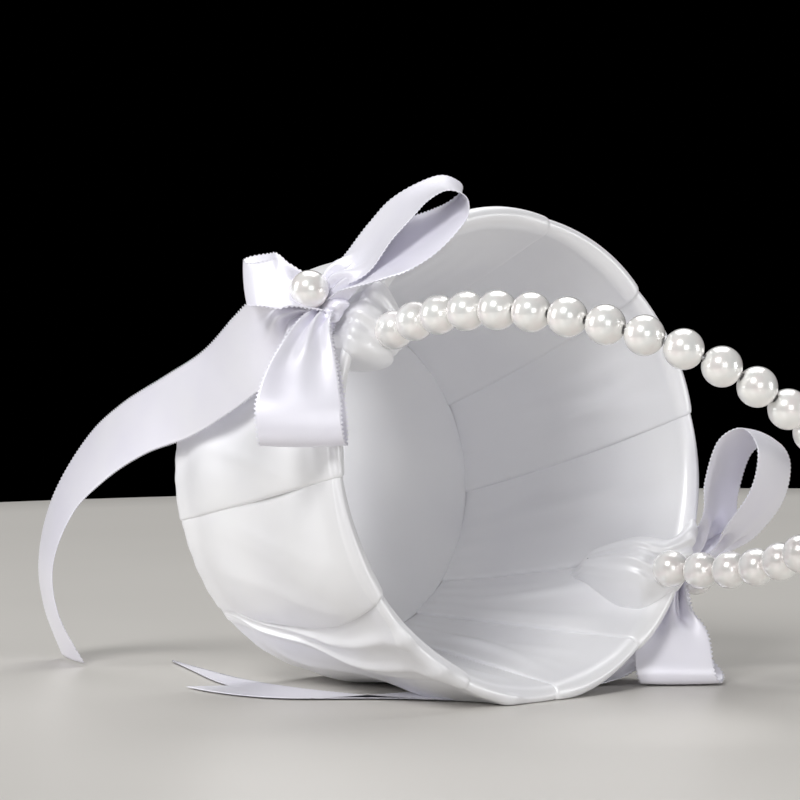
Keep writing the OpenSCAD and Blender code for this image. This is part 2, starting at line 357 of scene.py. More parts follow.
def make_finishes() -> dict[Finish, bpy.types.Material]:
    """Builds every finish once."""
    return {
        Finish.SATIN: WovenSatin("white_polyester_satin_calendered", "#F4F4F6", "#EEEEF2").make(),
        Finish.RIBBON: WovenSatin(
            "woven_satin_ribbon_with_looped_edges",
            "#F4F3FB",
            "#EEECF8",
            roughness=0.38,
            dent_mm=9.0,
            dent_depth_mm=0.1,
        ).make(),
        Finish.PEARL: PearlLacquer().make(),
        Finish.WIRE: DrawnWire().make(),
        Finish.BOARD: GreyBoard().make(),
    }


# ---------------------------------------------------------------- mesh helpers


def ease(low: float, high: float, value: np.ndarray | float) -> np.ndarray | float:
    """A smooth step from 0 at low to 1 at high."""
    t = np.clip((value - low) / (high - low), 0.0, 1.0)
    return t * t * (3 - 2 * t)


def unit(vectors: np.ndarray) -> np.ndarray:
    """Each vector along the last axis, at length 1."""
    return vectors / np.maximum(np.linalg.norm(vectors, axis=-1, keepdims=True), 1e-12)


def catmull(points: np.ndarray, per_span: int) -> np.ndarray:
    """A smooth curve through every point.

    Args:
        points: One row per control value.
        per_span: Steps between two neighbouring points.

    Returns:
        The curve's rows.
    """
    rows = []
    for i in range(len(points) - 1):
        a, b = points[max(i - 1, 0)], points[i]
        c, d = points[i + 1], points[min(i + 2, len(points) - 1)]
        for t in np.arange(per_span) / per_span:
            rows.append(
                0.5 * (2 * b + (c - a) * t + (2 * a - 5 * b + 4 * c - d) * t**2 + (3 * b - a - 3 * c + d) * t**3)
            )
    rows.append(points[-1])
    return np.array(rows)


def grid_object(name: str, points: np.ndarray, uv: np.ndarray, material: bpy.types.Material) -> bpy.types.Object:
    """Makes a smooth sheet from a grid of points.

    Args:
        name: The piece's name.
        points: Rows by columns by 3, in metres, in the row frame.
        uv: Rows by columns by 2, the cloth's own coordinates in metres.
        material: The finish.

    Returns:
        The new object, linked to the scene.
    """
    rows, columns = points.shape[:2]
    index = np.arange(rows * columns).reshape(rows, columns)
    quads = np.stack([index[:-1, :-1], index[:-1, 1:], index[1:, 1:], index[1:, :-1]], -1).reshape(-1, 4)
    mesh = bpy.data.meshes.new(name)
    mesh.from_pydata(points.reshape(-1, 3).tolist(), [], quads.tolist())
    layer = mesh.uv_layers.new(name="cloth")
    layer.data.foreach_set("uv", uv.reshape(-1, 2)[quads.ravel()].ravel())
    mesh.shade_smooth()
    mesh.materials.append(material)
    made = bpy.data.objects.new(name, mesh)
    bpy.context.scene.collection.objects.link(made)
    return made


def thicken(piece: bpy.types.Object, thickness: float) -> None:
    """Gives a sheet its cloth thickness, half to each side."""
    modifier = piece.modifiers.new("thickness", "SOLIDIFY")
    modifier.thickness = thickness
    modifier.offset = 0.0


def subdivide(piece: bpy.types.Object) -> None:
    """Smooths a sheet by one level of subdivision."""
    modifier = piece.modifiers.new("smooth", "SUBSURF")
    modifier.levels = modifier.render_levels = 1


def cup_matrix() -> Matrix:
    """The cup's own frame in the row frame, from the flat mount on its underside."""
    mount = next(m for m in frame["record"]["mounts"] if m["name"] == "base_underside")
    along = -Vector(mount["axis"]).normalized()
    across = Vector((1, 0, 0))
    up = along.cross(across)
    matrix = Matrix((across, up, along)).transposed().to_4x4()
    matrix.translation = Vector(mount["pos_m"])
    return matrix


def placed(local: np.ndarray, matrix: Matrix, table_gap: float = 0.2 * MM) -> np.ndarray:
    """Points of the cup's own frame in the row frame, kept above the table.

    Args:
        local: Any array whose last axis is x, y, z in metres.
        matrix: The cup's frame.
        table_gap: The lowest height that a point may have.

    Returns:
        The same array in the row frame.
    """
    turn = np.array(matrix.to_3x3())
    world = local @ turn.T + np.array(matrix.translation)
    world[..., 2] = np.maximum(world[..., 2], table_gap)
    return world


# ---------------------------------------------------------------- the satin cup


class Lap(Enum):
    """Which edge of a pleat is a fold that lies over its neighbour."""

    NONE = 0
    START = 1
    END = 2
    BOTH = 3


@dataclass
class Seam:
    """One edge between two pleats, as angles around the cup in degrees."""

    rim: float
    hem: float
    floor: float
    bend: float = 0.0


@dataclass(frozen=True)
class Relief:
    """How a pleat's cloth stands off the wall: heights in metres, the rest as shares of the run or the width."""

    # The fold that laps over the next pleat: it grows from the hem, thins at the rim and fills out inside.
    lap: float = 1.05 * MM
    lap_roll: float = 0.03
    lap_fade: float = 0.85
    lap_at_hem: float = 0.4
    lap_lost_at_rim: float = 0.55
    lap_in_mouth: float = 0.6
    lap_gain_inside: float = 0.75
    lap_lost_at_floor: float = 0.5
    tuck_drop: float = 0.35 * MM
    # The fullness of the whole pleat, leaning towards the side where it is tucked in.
    puff: float = 1.9 * MM
    puff_vary: tuple[float, float] = (0.8, 1.15)
    puff_lost_at_rim: float = 0.55
    puff_in_mouth: float = 0.25
    puff_gain_inside: float = 0.1
    lean_start: float = 0.8
    lean_end: float = 1.25
    # Slow swells that run round the wall, as the pad under the satin gives.
    swell: float = 1.4 * MM
    swell_vary: tuple[float, float] = (0.8, 1.15)
    swell_shift: float = 0.05
    swell_low: float = 0.42
    swell_waves: float = 1.65
    swell_at_edge: float = 0.4
    # Long soft creases that start at one edge of a pleat and die out across it.
    creases: int = 4
    crease_tall: tuple[float, float] = (0.15 * MM, 0.4 * MM)
    crease_wide: tuple[float, float] = (0.035, 0.05)
    # Long folds given one by one: the pleat's number, the place at hem and rim, and the height in mm.
    long_folds: tuple[tuple[int, float, float, float], ...] = (
        (3, 0.02, 0.34, 1.6), (3, 0.3, 0.72, 1.5), (4, 0.2, 0.5, 0.9),
    )
    long_fold_wide: tuple[float, float] = (0.03, 0.045)
    # Broad billows of the lining, from the mouth to the floor.
    billows: int = 3
    billow_tall: tuple[float, float] = (0.6, 1.3)
    billow_wide: tuple[float, float] = (0.07, 0.14)
    # Short gathers under the base and at the floor, one for so many degrees of pleat.
    gather: float = 0.16 * MM
    gather_each: float = 7.0


@dataclass
class SatinCup:
    """The stiff cup's satin: eleven hand-laid pleats over the wall and rim, a floor pad and a base cover."""

    mouth_r: float = 78.4 * MM
    base_r: float = 66.0 * MM
    depth: float = 97.0 * MM
    floor_z: float = 7.0 * MM
    floor_r: float = 55.6 * MM
    rim_r: float = 1.9 * MM
    wall_t: float = 4.9 * MM
    roll_drop: float = 4.0 * MM
    tuck: float = 4.0 * MM
    # How far the outside lies back from the rim's width along the wall, and the height it takes to do so.
    waist: float = 0.9 * MM
    waist_low: float = 10.0 * MM
    waist_high: float = 12.0 * MM
    hem_turn: float = 3.4 * MM
    disc_roll: float = 1.4 * MM
    disc_gather: float = 0.12 * MM
    disc_swell: float = 0.25 * MM
    relief: Relief = Relief()
    seams: list[Seam] = field(
        default_factory=lambda: [
            Seam(117, 127, 108),
            Seam(151, 160, 143),
            Seam(183, 190, 176),
            Seam(213, 217, 206, 8.5),
            Seam(246, 221, 238, 3),
            Seam(274, 266, 283),
            Seam(304, 298, 300),
            Seam(333, 334, 317),
            Seam(368, 371, 352),
            Seam(402, 407, 384),
            Seam(435, 441, 420),
        ]
    )
    laps: list[Lap] = field(
        default_factory=lambda: [Lap.END, Lap.END, Lap.END, Lap.END, Lap.NONE]
        + [Lap.START] * 5
        + [Lap.BOTH]
    )

    def outer_r(self, z: np.ndarray | float) -> np.ndarray | float:
        """Outside radius over the hems at height z."""
        return self.base_r + (self.mouth_r - self.base_r) * z / self.depth

    def inner_r(self, z: np.ndarray | float) -> np.ndarray | float:
        """Radius of the lining at height z."""
        low = self.floor_r + 0.3 * MM
        top = self.mouth_r - self.wall_t
        return low + (top - low) * (z - self.floor_z) / (self.depth - self.wall_t / 2 - self.floor_z)

    def profile(self) -> np.ndarray:
        """The pleats' run from the turned-in hem, up the outside, over the rim and down to the floor.

        Returns:
            Rows of radius, height, outward normal's two parts, path share outside (0 to 1 at the rim's
            top), and path share inside (0 at the rim's top to 1 at the floor).
        """
        hem = [
            (self.base_r - self.hem_turn, 0.25 * MM),
            (self.base_r - self.hem_turn / 2 + 0.1 * MM, 0.05 * MM),
            (self.base_r - 0.5 * MM, 0.3 * MM),
        ]
        outside = []
        for z in np.linspace(1.4 * MM, self.depth - self.rim_r, 44):
            near_rim = ease(self.depth - self.waist_high, self.depth - 3 * MM, z)
            outside.append((self.outer_r(z) - self.waist * ease(0, self.waist_low, z) * (1 - near_rim), z))
        # The crest is rolled tightly outside and falls away in a longer curve to the lining.
        crest = self.mouth_r - self.rim_r
        low = self.depth - self.roll_drop
        reach = crest - self.inner_r(low)
        bends = np.linspace(0, math.pi / 2, 9)[1:]
        turn = [(crest + self.rim_r * math.cos(a), self.depth - self.rim_r * (1 - math.sin(a))) for a in bends]
        turn += [(crest - reach * math.sin(a), low + self.roll_drop * math.cos(a)) for a in bends[:-1]]
        inside = [(self.inner_r(z), z) for z in np.linspace(low, self.floor_z - 1 * MM, 40)]
        line = np.array(hem + outside + turn + inside)
        way = unit(np.gradient(line, axis=0))
        normal = np.stack([way[:, 1], -way[:, 0]], -1)
        step = np.r_[0, np.cumsum(np.linalg.norm(np.diff(line, axis=0), axis=1))]
        top = len(hem) + len(outside) + len(bends) - 1
        out_share = np.clip(step / step[top], 0, 1)
        in_share = np.clip((step - step[top]) / (step[-1] - step[top]), 0, 1)
        return np.column_stack([line, normal, out_share, in_share, step])

    def seam_angle(self, seam: Seam, run: np.ndarray) -> np.ndarray:
        """A seam's angle all along the path, in degrees."""
        out, inn = run[:, 4], run[:, 5]
        outside = seam.hem + (seam.rim - seam.hem) * out + seam.bend * np.sin(np.pi * out)
        inside = seam.rim + (seam.floor - seam.rim) * inn
        return np.where(inn > 0, inside, outside)

    def columns(self, lap: Lap) -> np.ndarray:
        """Places across a pleat, 0 to 1 between its seams; past them it is tucked under its neighbours."""
        fold = np.array([0.0, 0.004, 0.012, 0.024, 0.042])
        across = np.concatenate([fold, np.linspace(0.07, 0.93, 22), 1 - fold[::-1]])
        tucked = 0.5
        if lap not in (Lap.START, Lap.BOTH):
            across = np.r_[-tucked, -tucked / 10, across]
        if lap not in (Lap.END, Lap.BOTH):
            across = np.r_[across, 1 + tucked / 10, 1 + tucked]
        return across

    def rise(self, k: int, u: np.ndarray, out: np.ndarray, inn: np.ndarray, span: float) -> np.ndarray:
        """How far a pleat's cloth stands off its run.

        Args:
            k: The pleat's number, from 0.
            u: Share of its width.
            out: Share of the run outside, 0 at the hem and 1 at the rim.
            inn: Share of the run inside, 0 at the rim and 1 at the floor.
            span: Its width at the rim in degrees.

        Returns:
            Heights in metres for every point.
        """
        draw, lap, form = random.Random(20 + k), self.laps[k], self.relief
        outside = inn <= 0
        rise = self.lap_rise(lap, u, out, inn)
        # Pleats are pulled flat at the hem and the floor, a little full at the rim, and full between.
        full = np.where(
            outside,
            ease(0.02, 0.3, out) * (1 - form.puff_lost_at_rim * ease(0.75, 1.0, out)),
            form.puff_in_mouth + form.puff_gain_inside * ease(0.1, 0.5, inn),
        )
        lean = {Lap.START: form.lean_start, Lap.END: form.lean_end}.get(lap, 1.0)
        belly = np.sin(np.pi * u**lean) ** 0.8
        rise = rise + form.puff * draw.uniform(*form.puff_vary) * full * belly
        swell = form.swell * draw.uniform(*form.swell_vary)
        low = form.swell_low - draw.uniform(-form.swell_shift, form.swell_shift)
        wave = -np.cos(2 * np.pi * (out - low) * form.swell_waves)
        wave = wave * ease(0.05, 0.25, out) * (1 - ease(0.85, 1.0, out))
        rise += np.where(outside, swell * wave * (form.swell_at_edge + (1 - form.swell_at_edge) * belly), 0)
        for _ in range(form.creases):
            from_start = draw.random() < 0.5
            near, far = (0.04, draw.uniform(0.35, 0.7)) if from_start else (0.96, draw.uniform(0.3, 0.65))
            begin, finish = draw.uniform(0.05, 0.35), draw.uniform(0.6, 1.0)
            if draw.random() < 0.4:
                begin, finish = finish, begin
            share = np.clip((out - begin) / (finish - begin), 0, 1)
            tall = draw.uniform(*form.crease_tall) * np.sin(np.pi * np.clip(share, 0.02, 0.98)) ** 0.7
            gap = u - (near + (far - near) * share)
            wide = form.crease_wide[0] + form.crease_wide[1] * share
            rise += np.where(outside, tall * np.exp(-((gap / wide) ** 2)) * full, 0)
        for number, at_hem, at_rim, tall in form.long_folds:
            if number == k:
                gap = u - (at_hem + (at_rim - at_hem) * out)
                wide = form.long_fold_wide[0] + form.long_fold_wide[1] * out
                rise += np.where(outside, tall * MM * np.exp(-((gap / wide) ** 2)) * ease(0.05, 0.3, out), 0)
        for _ in range(form.billows):
            at_rim, at_floor = draw.uniform(0.1, 0.9), draw.uniform(0.15, 0.85)
            tall, wide = draw.uniform(*form.billow_tall) * MM, draw.uniform(*form.billow_wide)
            gap = u - (at_rim + (at_floor - at_rim) * inn)
            fade = np.sin(np.pi * np.clip((inn - 0.06) / 0.8, 0, 1)) * np.sin(np.pi * np.clip(u, 0, 1)) ** 0.6
            rise += np.where(outside, 0, tall * np.exp(-((gap / wide) ** 2)) * fade)
        count = max(3, round(span / form.gather_each))
        gather = form.gather * np.sin(2 * np.pi * (u * count + draw.random())) * np.sin(np.pi * u) ** 0.5
        return rise + gather * np.where(outside, 1 - ease(0.0, 0.14, out), ease(0.72, 0.98, inn))

    def lap_rise(self, lap: Lap, u: np.ndarray, out: np.ndarray, inn: np.ndarray) -> np.ndarray:
        """The height of a pleat's folded edges over the pleats beside it."""
        form = self.relief
        height = form.lap * np.where(
            inn <= 0,
            form.lap_at_hem
            + (1 - form.lap_at_hem) * ease(0.0, 0.4, out)
            - form.lap_lost_at_rim * ease(0.75, 0.97, out),
            (form.lap_in_mouth + form.lap_gain_inside * ease(0.12, 0.35, inn)) * (1 - form.lap_lost_at_floor * inn),
        )
        sides = []
        for wanted, place in ((Lap.START, u), (Lap.END, 1 - u)):
            if lap in (wanted, Lap.BOTH):
                edge = np.sqrt(np.clip(1 - (1 - np.clip(place / form.lap_roll, 0, 1)) ** 2, 0, 1))
                fade = 1.0 if lap is Lap.BOTH else 1 - ease(0.0, form.lap_fade, place)
                sides.append(height * edge * fade)
        return np.minimum.reduce(sides) if sides else np.zeros_like(height * u)

    def pleat(self, k: int, matrix: Matrix, material: bpy.types.Material) -> bpy.types.Object:
        """Builds one pleat.

        Args:
            k: Its number, from 0.
            matrix: The cup's frame.
            material: The satin.

        Returns:
            The pleat as one sheet.
        """
        run = self.profile()
        first, last = self.seams[k], self.seams[(k + 1) % len(self.seams)]
        if k + 1 == len(self.seams):
            last = Seam(last.rim + 360, last.hem + 360, last.floor + 360)
        start, end = self.seam_angle(first, run), self.seam_angle(last, run)
        radius = run[:, 0]
        across = self.columns(self.laps[k])
        inside_u = np.clip(across, 0, 1)
        over = across - inside_u
        tuck = np.degrees(self.tuck / radius)
        angle = start[:, None] + (end - start)[:, None] * inside_u[None, :] + tuck[:, None] * over[None, :] * 2
        rise = self.rise(k, inside_u[None, :], run[:, 4][:, None], run[:, 5][:, None], last.rim - first.rim)
        rise = rise - self.relief.tuck_drop * np.clip(np.abs(over) * 6, 0, 1)
        rad = np.radians(angle)
        r = radius[:, None] + run[:, 2][:, None] * rise
        z = run[:, 1][:, None] + run[:, 3][:, None] * rise + 0 * rad
        local = np.stack([r * np.cos(rad), r * np.sin(rad), z], -1)
        width = np.radians(angle) * radius.mean()
        uv = np.stack([width, np.broadcast_to(run[:, 6][:, None], width.shape)], -1)
        made = grid_object(f"pleat_{k + 1:02d}", placed(local, matrix), uv, material)
        subdivide(made)
        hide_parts(f"satin_strip_{k + 1:02d}")
        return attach(made, "cup")

    def disc(
        self, name: str, radius: float, height: float, crown: float, edge: float, matrix: Matrix,
        material: bpy.types.Material,
    ) -> bpy.types.Object:
        """A round of satin drawn tight over a board, with its edge rolled over.

        Args:
            name: The piece's name.
            radius: Its outside radius.
            height: Its rim's height in the cup's frame.
            crown: How far its middle stands above the rim; it may be negative.
            edge: How far its edge rolls away, against the crown's side.
            matrix: The cup's frame.
            material: The satin.

        Returns:
            The disc.
        """
        sign = 1.0 if crown >= 0 else -1.0
        roll = self.disc_roll
        flat_r = radius - roll
        flat_rings = np.linspace(0.0, 1.0, 26)[1:] * flat_r
        bend = np.linspace(0, math.pi / 2, 6)[1:]
        ring_r = np.r_[0.0, flat_rings, flat_r + roll * np.sin(bend), radius]
        drop = np.r_[0.0, 0 * flat_rings, roll * (1 - np.cos(bend)), edge]
        turn = np.radians(np.linspace(0, 360, 145))
        r, a = ring_r[:, None], turn[None, :]
        pull = ease(0.72 * radius, radius, r) * (1 - ease(flat_r, radius, r) * 0.5)
        wave = self.disc_gather * pull * (np.sin(23 * a) + 0.6 * np.sin(37 * a + 1.3))
        slow = self.disc_swell * np.sin(3 * a + 0.7) * (r / radius) ** 2
        z = height + crown * (1 - (r / radius) ** 2) + sign * (wave + slow * 0.6) - sign * drop[:, None]
        local = np.stack([r * np.cos(a), r * np.sin(a), z], -1)
        uv = np.stack([r * np.cos(a), r * np.sin(a)], -1)
        made = grid_object(name, placed(local, matrix), uv, material)
        weld(made)
        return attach(made, "cup")

    def build(self, matrix: Matrix, finishes: dict[Finish, bpy.types.Material]) -> list[bpy.types.Object]:
        """Builds the pleats, the floor pad and the base cover, and dresses the hidden boards."""
        satin = finishes[Finish.SATIN]
        made = [self.pleat(k, matrix, satin) for k in range(len(self.seams))]
        floor = self.disc("floor_pad", self.floor_r, self.floor_z, 0.8 * MM, 2.2 * MM, matrix, satin)
        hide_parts("base_lining")
        cover = self.disc("underside_cover", self.base_r - 3.0 * MM, 0.5 * MM, -0.35 * MM, 0.6 * MM, matrix, satin)
        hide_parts("base_cover")
        for node in ("wall_shell", "base_board"):
            dress(node, finishes[Finish.BOARD])
        return made + [floor, cover]


def weld(piece: bpy.types.Object) -> None:
    """Joins points of a mesh that lie together, such as a disc's seam."""
    mesh = bmesh.new()
    mesh.from_mesh(piece.data)
    bmesh.ops.remove_doubles(mesh, verts=mesh.verts, dist=0.001 * MM)
    mesh.to_mesh(piece.data)
    mesh.free()


def dress(node: str, material: bpy.types.Material) -> None:
    """Gives a CAD node its finish."""
    piece = frame["nodes"][node]
    piece.data.materials.clear()
    piece.data.materials.append(material)


# ---------------------------------------------------------------- ribbons and bows


@dataclass
class Ribbon:
    """One stretch of ribbon on a bow, swept along a route.

    The route's rows are the middle of the ribbon, its side direction and its share of the full width, in
    millimetres from the cup's foot; where the share is small, the ribbon is gathered into folds.
    """

    name: str
    node: str
    route: list[tuple[tuple[float, float, float], tuple[float, float, float], float]]
    cupping: float = 1.0 * MM
    tips: tuple[float, float, float] = (0.0, 0.0, 0.0)
    folds: int = 4
    fullness: float = 1.3
    width: float = 25.0 * MM
    thickness: float = 0.26 * MM
    picot: float = 0.9 * MM
    picot_step: float = 0.7 * MM
    picot_gap: float = 0.05 * MM
    on_table: bool = False
    tie_share: float = 0.22
    tie_reach: float = 0.75
    least_share: float = 0.2
    per_span: int = 40
    ribs: int = 21
    tie_start: bool = True
    tie_end: bool = True

    def tied(self, foot: np.ndarray) -> np.ndarray:
        """The route's rows, drawn on into the knot where the ribbon is tied."""
        knot = sum(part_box(f"{self.node.split('_')[0]}_knot"), Vector()) / 2
        heart = (np.array(knot) - foot) / MM
        rows = [[*p, *s, w] for p, s, w in self.route]

        def drawn_in(row: list[float]) -> list[float]:
            """The row that the ribbon takes inside the knot, next to this one."""
            point = heart * self.tie_reach + np.array(row[:3]) * (1 - self.tie_reach)
            return [*point, *row[3:6], self.tie_share]

        if self.tie_start:
            rows.insert(0, drawn_in(rows[0]))
        if self.tie_end:
            rows.append(drawn_in(rows[-1]))
        return np.array(rows)

    def build(self, foot: np.ndarray, material: bpy.types.Material) -> bpy.types.Object:
        """Builds the ribbon.

        Args:
            foot: Where the route's origin is in the row frame.
            material: The ribbon's finish.

        Returns:
            The ribbon, riding on the cup.
        """
        fine = catmull(self.tied(foot), self.per_span)
        centre = fine[:, :3] * MM + foot
        length = np.r_[0, np.cumsum(np.linalg.norm(np.diff(centre, axis=0), axis=1))]
        stations = np.arange(0, length[-1], self.picot_step)
        across = np.concatenate([[-1.0], np.linspace(-0.97, 0.97, self.ribs), [1.0]])
        ends = np.interp(across, [-1, 0, 1], self.tips)
        where = stations[:, None] * (length[-1] + ends[None, :]) / length[-1]
        grid = np.stack([self.at(where, length, fine[:, j]) for j in range(7)], -1)
        mid = grid[..., :3] * MM + foot
        side = unit(grid[..., 3:6])
        share = np.clip(grid[..., 6], self.least_share, 1.0)
        way = unit(np.gradient(mid, axis=0))
        face = unit(np.cross(way, side))
        half = self.width / 2 * share
        slack = self.fullness * self.width * (1 - share) / (2 * self.folds)
        pleats = slack * np.cos(np.pi * self.folds * (across[None, :] + 1) / 2)
        bow = self.cupping * (1 - across[None, :] ** 2) * share
        tooth = np.where(np.arange(len(stations)) % 2 == 0, self.picot, self.picot_gap)[:, None]
        reach = half * across[None, :] + np.sign(across)[None, :] * tooth * (np.abs(across) == 1)[None, :]
        points = mid + side * reach[..., None] + face * (pleats + bow)[..., None]
        if self.on_table:
            points[..., 2] = np.maximum(points[..., 2], self.thickness)
        points[..., 2] = np.maximum(points[..., 2], self.thickness / 2 + 0.1 * MM)
        uv = np.stack([np.broadcast_to(across * self.width / 2, where.shape), where], -1)
        made = grid_object(self.name, points, uv, material)
        thicken(made, self.thickness)
        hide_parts(self.node)
        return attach(made, "cup")

    @staticmethod
    def at(where: np.ndarray, length: np.ndarray, values: np.ndarray) -> np.ndarray:
        """Values along the ribbon at given lengths, carried on in line past its end."""
        inside = np.interp(where, length, values)
        beyond = np.clip(where - length[-1], 0, None)
        slope = (values[-1] - values[-12]) / (length[-1] - length[-12])
        return inside + beyond * slope


RIBBONS = [
    Ribbon(
        "left_bow_loop_upper", "left_loop_upper",
        [((-66, -82, 135), (-.4, -.8, -.5), .4), ((-62, -89, 140), (-.4, -.9, -.3), .9),
         ((-58, -94, 148), (-.4, -.9, -.2), 1), ((-54, -99, 155), (-.4, -.9, -.2), 1),
         ((-50, -104, 160), (-.5, -.8, -.2), 1), ((-45, -109, 163), (-.6, -.8, -.2), 1),
         ((-41, -113, 161), (-.6, -.8, -.2), 1), ((-41, -114, 157), (-.6, -.8, -.3), 1),
         ((-44, -112, 153), (-.5, -.8, -.3), 1), ((-49, -108, 148), (-.5, -.7, -.5), 1),
         ((-54, -102, 144), (-.5, -.6, -.6), 1), ((-60, -95, 139), (-.6, -.6, -.5), .95),
         ((-65, -88, 132), (-.6, -.5, -.6), .4)],
    ),
    Ribbon(
        "left_bow_loop_back", "left_loop_back",
        [((-77, -73, 132), (-.4, -.7, -.6), .9), ((-80, -70, 132), (-.5, -.7, -.6), 1),
         ((-83, -66, 132), (-.5, -.7, -.5), 1), ((-84, -62, 132), (-.5, -.7, -.5), 1),
         ((-82, -58, 133), (-.5, -.7, -.5), 1), ((-79, -58, 134), (-.5, -.7, -.5), 1),
         ((-76, -63, 134), (-.5, -.7, -.6), 1), ((-74, -68, 134), (-.4, -.7, -.6), .9)],
        cupping=0.4 * MM,
        tie_share=0.55,
    ),
    Ribbon(
        "left_bow_loop_hanging", "left_loop_hanging",
        [((-79, -87, 119), (.8, -.6, 0), .4), ((-86, -91, 108), (.8, -.6, 0), .78),
         ((-91, -95, 96), (.8, -.6, 0), 1), ((-91, -96, 87), (.8, -.6, 0), 1),
         ((-88, -94, 84), (.8, -.6, 0), 1), ((-86, -92, 90), (.8, -.6, 0), 1),
         ((-84, -90, 103), (.8, -.6, 0), .85), ((-77, -86, 116), (.8, -.6, 0), .4)],
        cupping=0.5 * MM,
        fullness=0.7,
    ),
    Ribbon(
        "left_bow_tail", "left_tail_long",
        [((-78, -72, 123), (.4, -.3, -.9), .4), ((-78, -65, 117), (.2, -.4, -.9), .9),
         ((-77, -52, 110), (0, -.6, -.8), 1), ((-74, -33, 101), (-.1, -.7, -.7), 1),
         ((-71, -8, 92), (-.1, -.7, -.7), 1), ((-69, 18, 84), (-.2, -.8, -.6), 1),
         ((-67, 42, 73), (-.3, -.8, -.5), 1), ((-66, 63, 56), (-.3, -.9, -.1), 1),
         ((-64, 76, 36), (-.4, -.9, 0), 1), ((-59, 80, 18), (-.4, -.9, 0), 1),
         ((-52, 77, 1), (-.3, -.9, 0), 1)],
        cupping=0.7 * MM,
        tie_end=False,
    ),
    Ribbon(
        "right_bow_loop_upper", "right_loop_upper",
        [((80, -98, 46), (.9, .3, -.2), .4), ((80, -105, 54), (.9, .3, -.2), .9),
         ((77, -109, 65), (.9, .3, -.2), 1), ((79, -113, 78), (.9, .3, -.2), 1),
         ((85, -118, 82), (.9, .3, -.2), 1), ((89, -121, 75), (.9, .3, -.2), 1),
         ((89, -118, 62), (.9, .3, -.2), 1), ((86, -109, 50), (.9, .3, -.2), .9),
         ((85, -100, 45), (.9, .3, -.2), .4)],
    ),
    Ribbon(
        "right_bow_loop_lower", "right_loop_lower",
        [((67, -96, 24), (.8, -.6, .1), .4), ((62, -101, 16), (.8, -.6, .1), .9),
         ((58, -106, 7), (.8, -.6, 0), 1), ((59, -107, 2), (.8, -.6, 0), 1),
         ((63, -105, 1), (.8, -.6, 0), 1), ((68, -102, 4), (.8, -.6, 0), .9),
         ((71, -98, 14), (.8, -.6, 0), .4)],
        cupping=0.3 * MM,
    ),
    Ribbon(
        "right_bow_tail", "right_tail_floor",
        [((68, -83, 16), (.2, -.9, .1), .4), ((61, -81, 9), (.1, -1, 0), .8),
         ((50, -79, 3), (0, -1, 0), 1), ((32, -78, .7), (0, -1, 0), 1),
         ((4, -78, .7), (0, -1, 0), 1), ((-22, -76, .7), (.2, -1, 0), 1),
         ((-40, -66, .7), (.8, -.7, 0), 1), ((-50, -48, .7), (1, -.3, 0), 1),
         ((-54, -24, .7), (1, 0, 0), 1), ((-52, 0, .7), (1, .1, 0), 1),
         ((-46, 24, .7), (1, .2, 0), 1)],
        cupping=0.0,
        tips=(-30 * MM, -38 * MM, 28 * MM),
        on_table=True,
        tie_end=False,
    ),
]


class Root(Enum):
    """The two sides of the handle: the angle of the wire's root, and of the bow tied by it."""

    LEFT = (144.0, 144.0)
    RIGHT = (-36.0, -28.0)


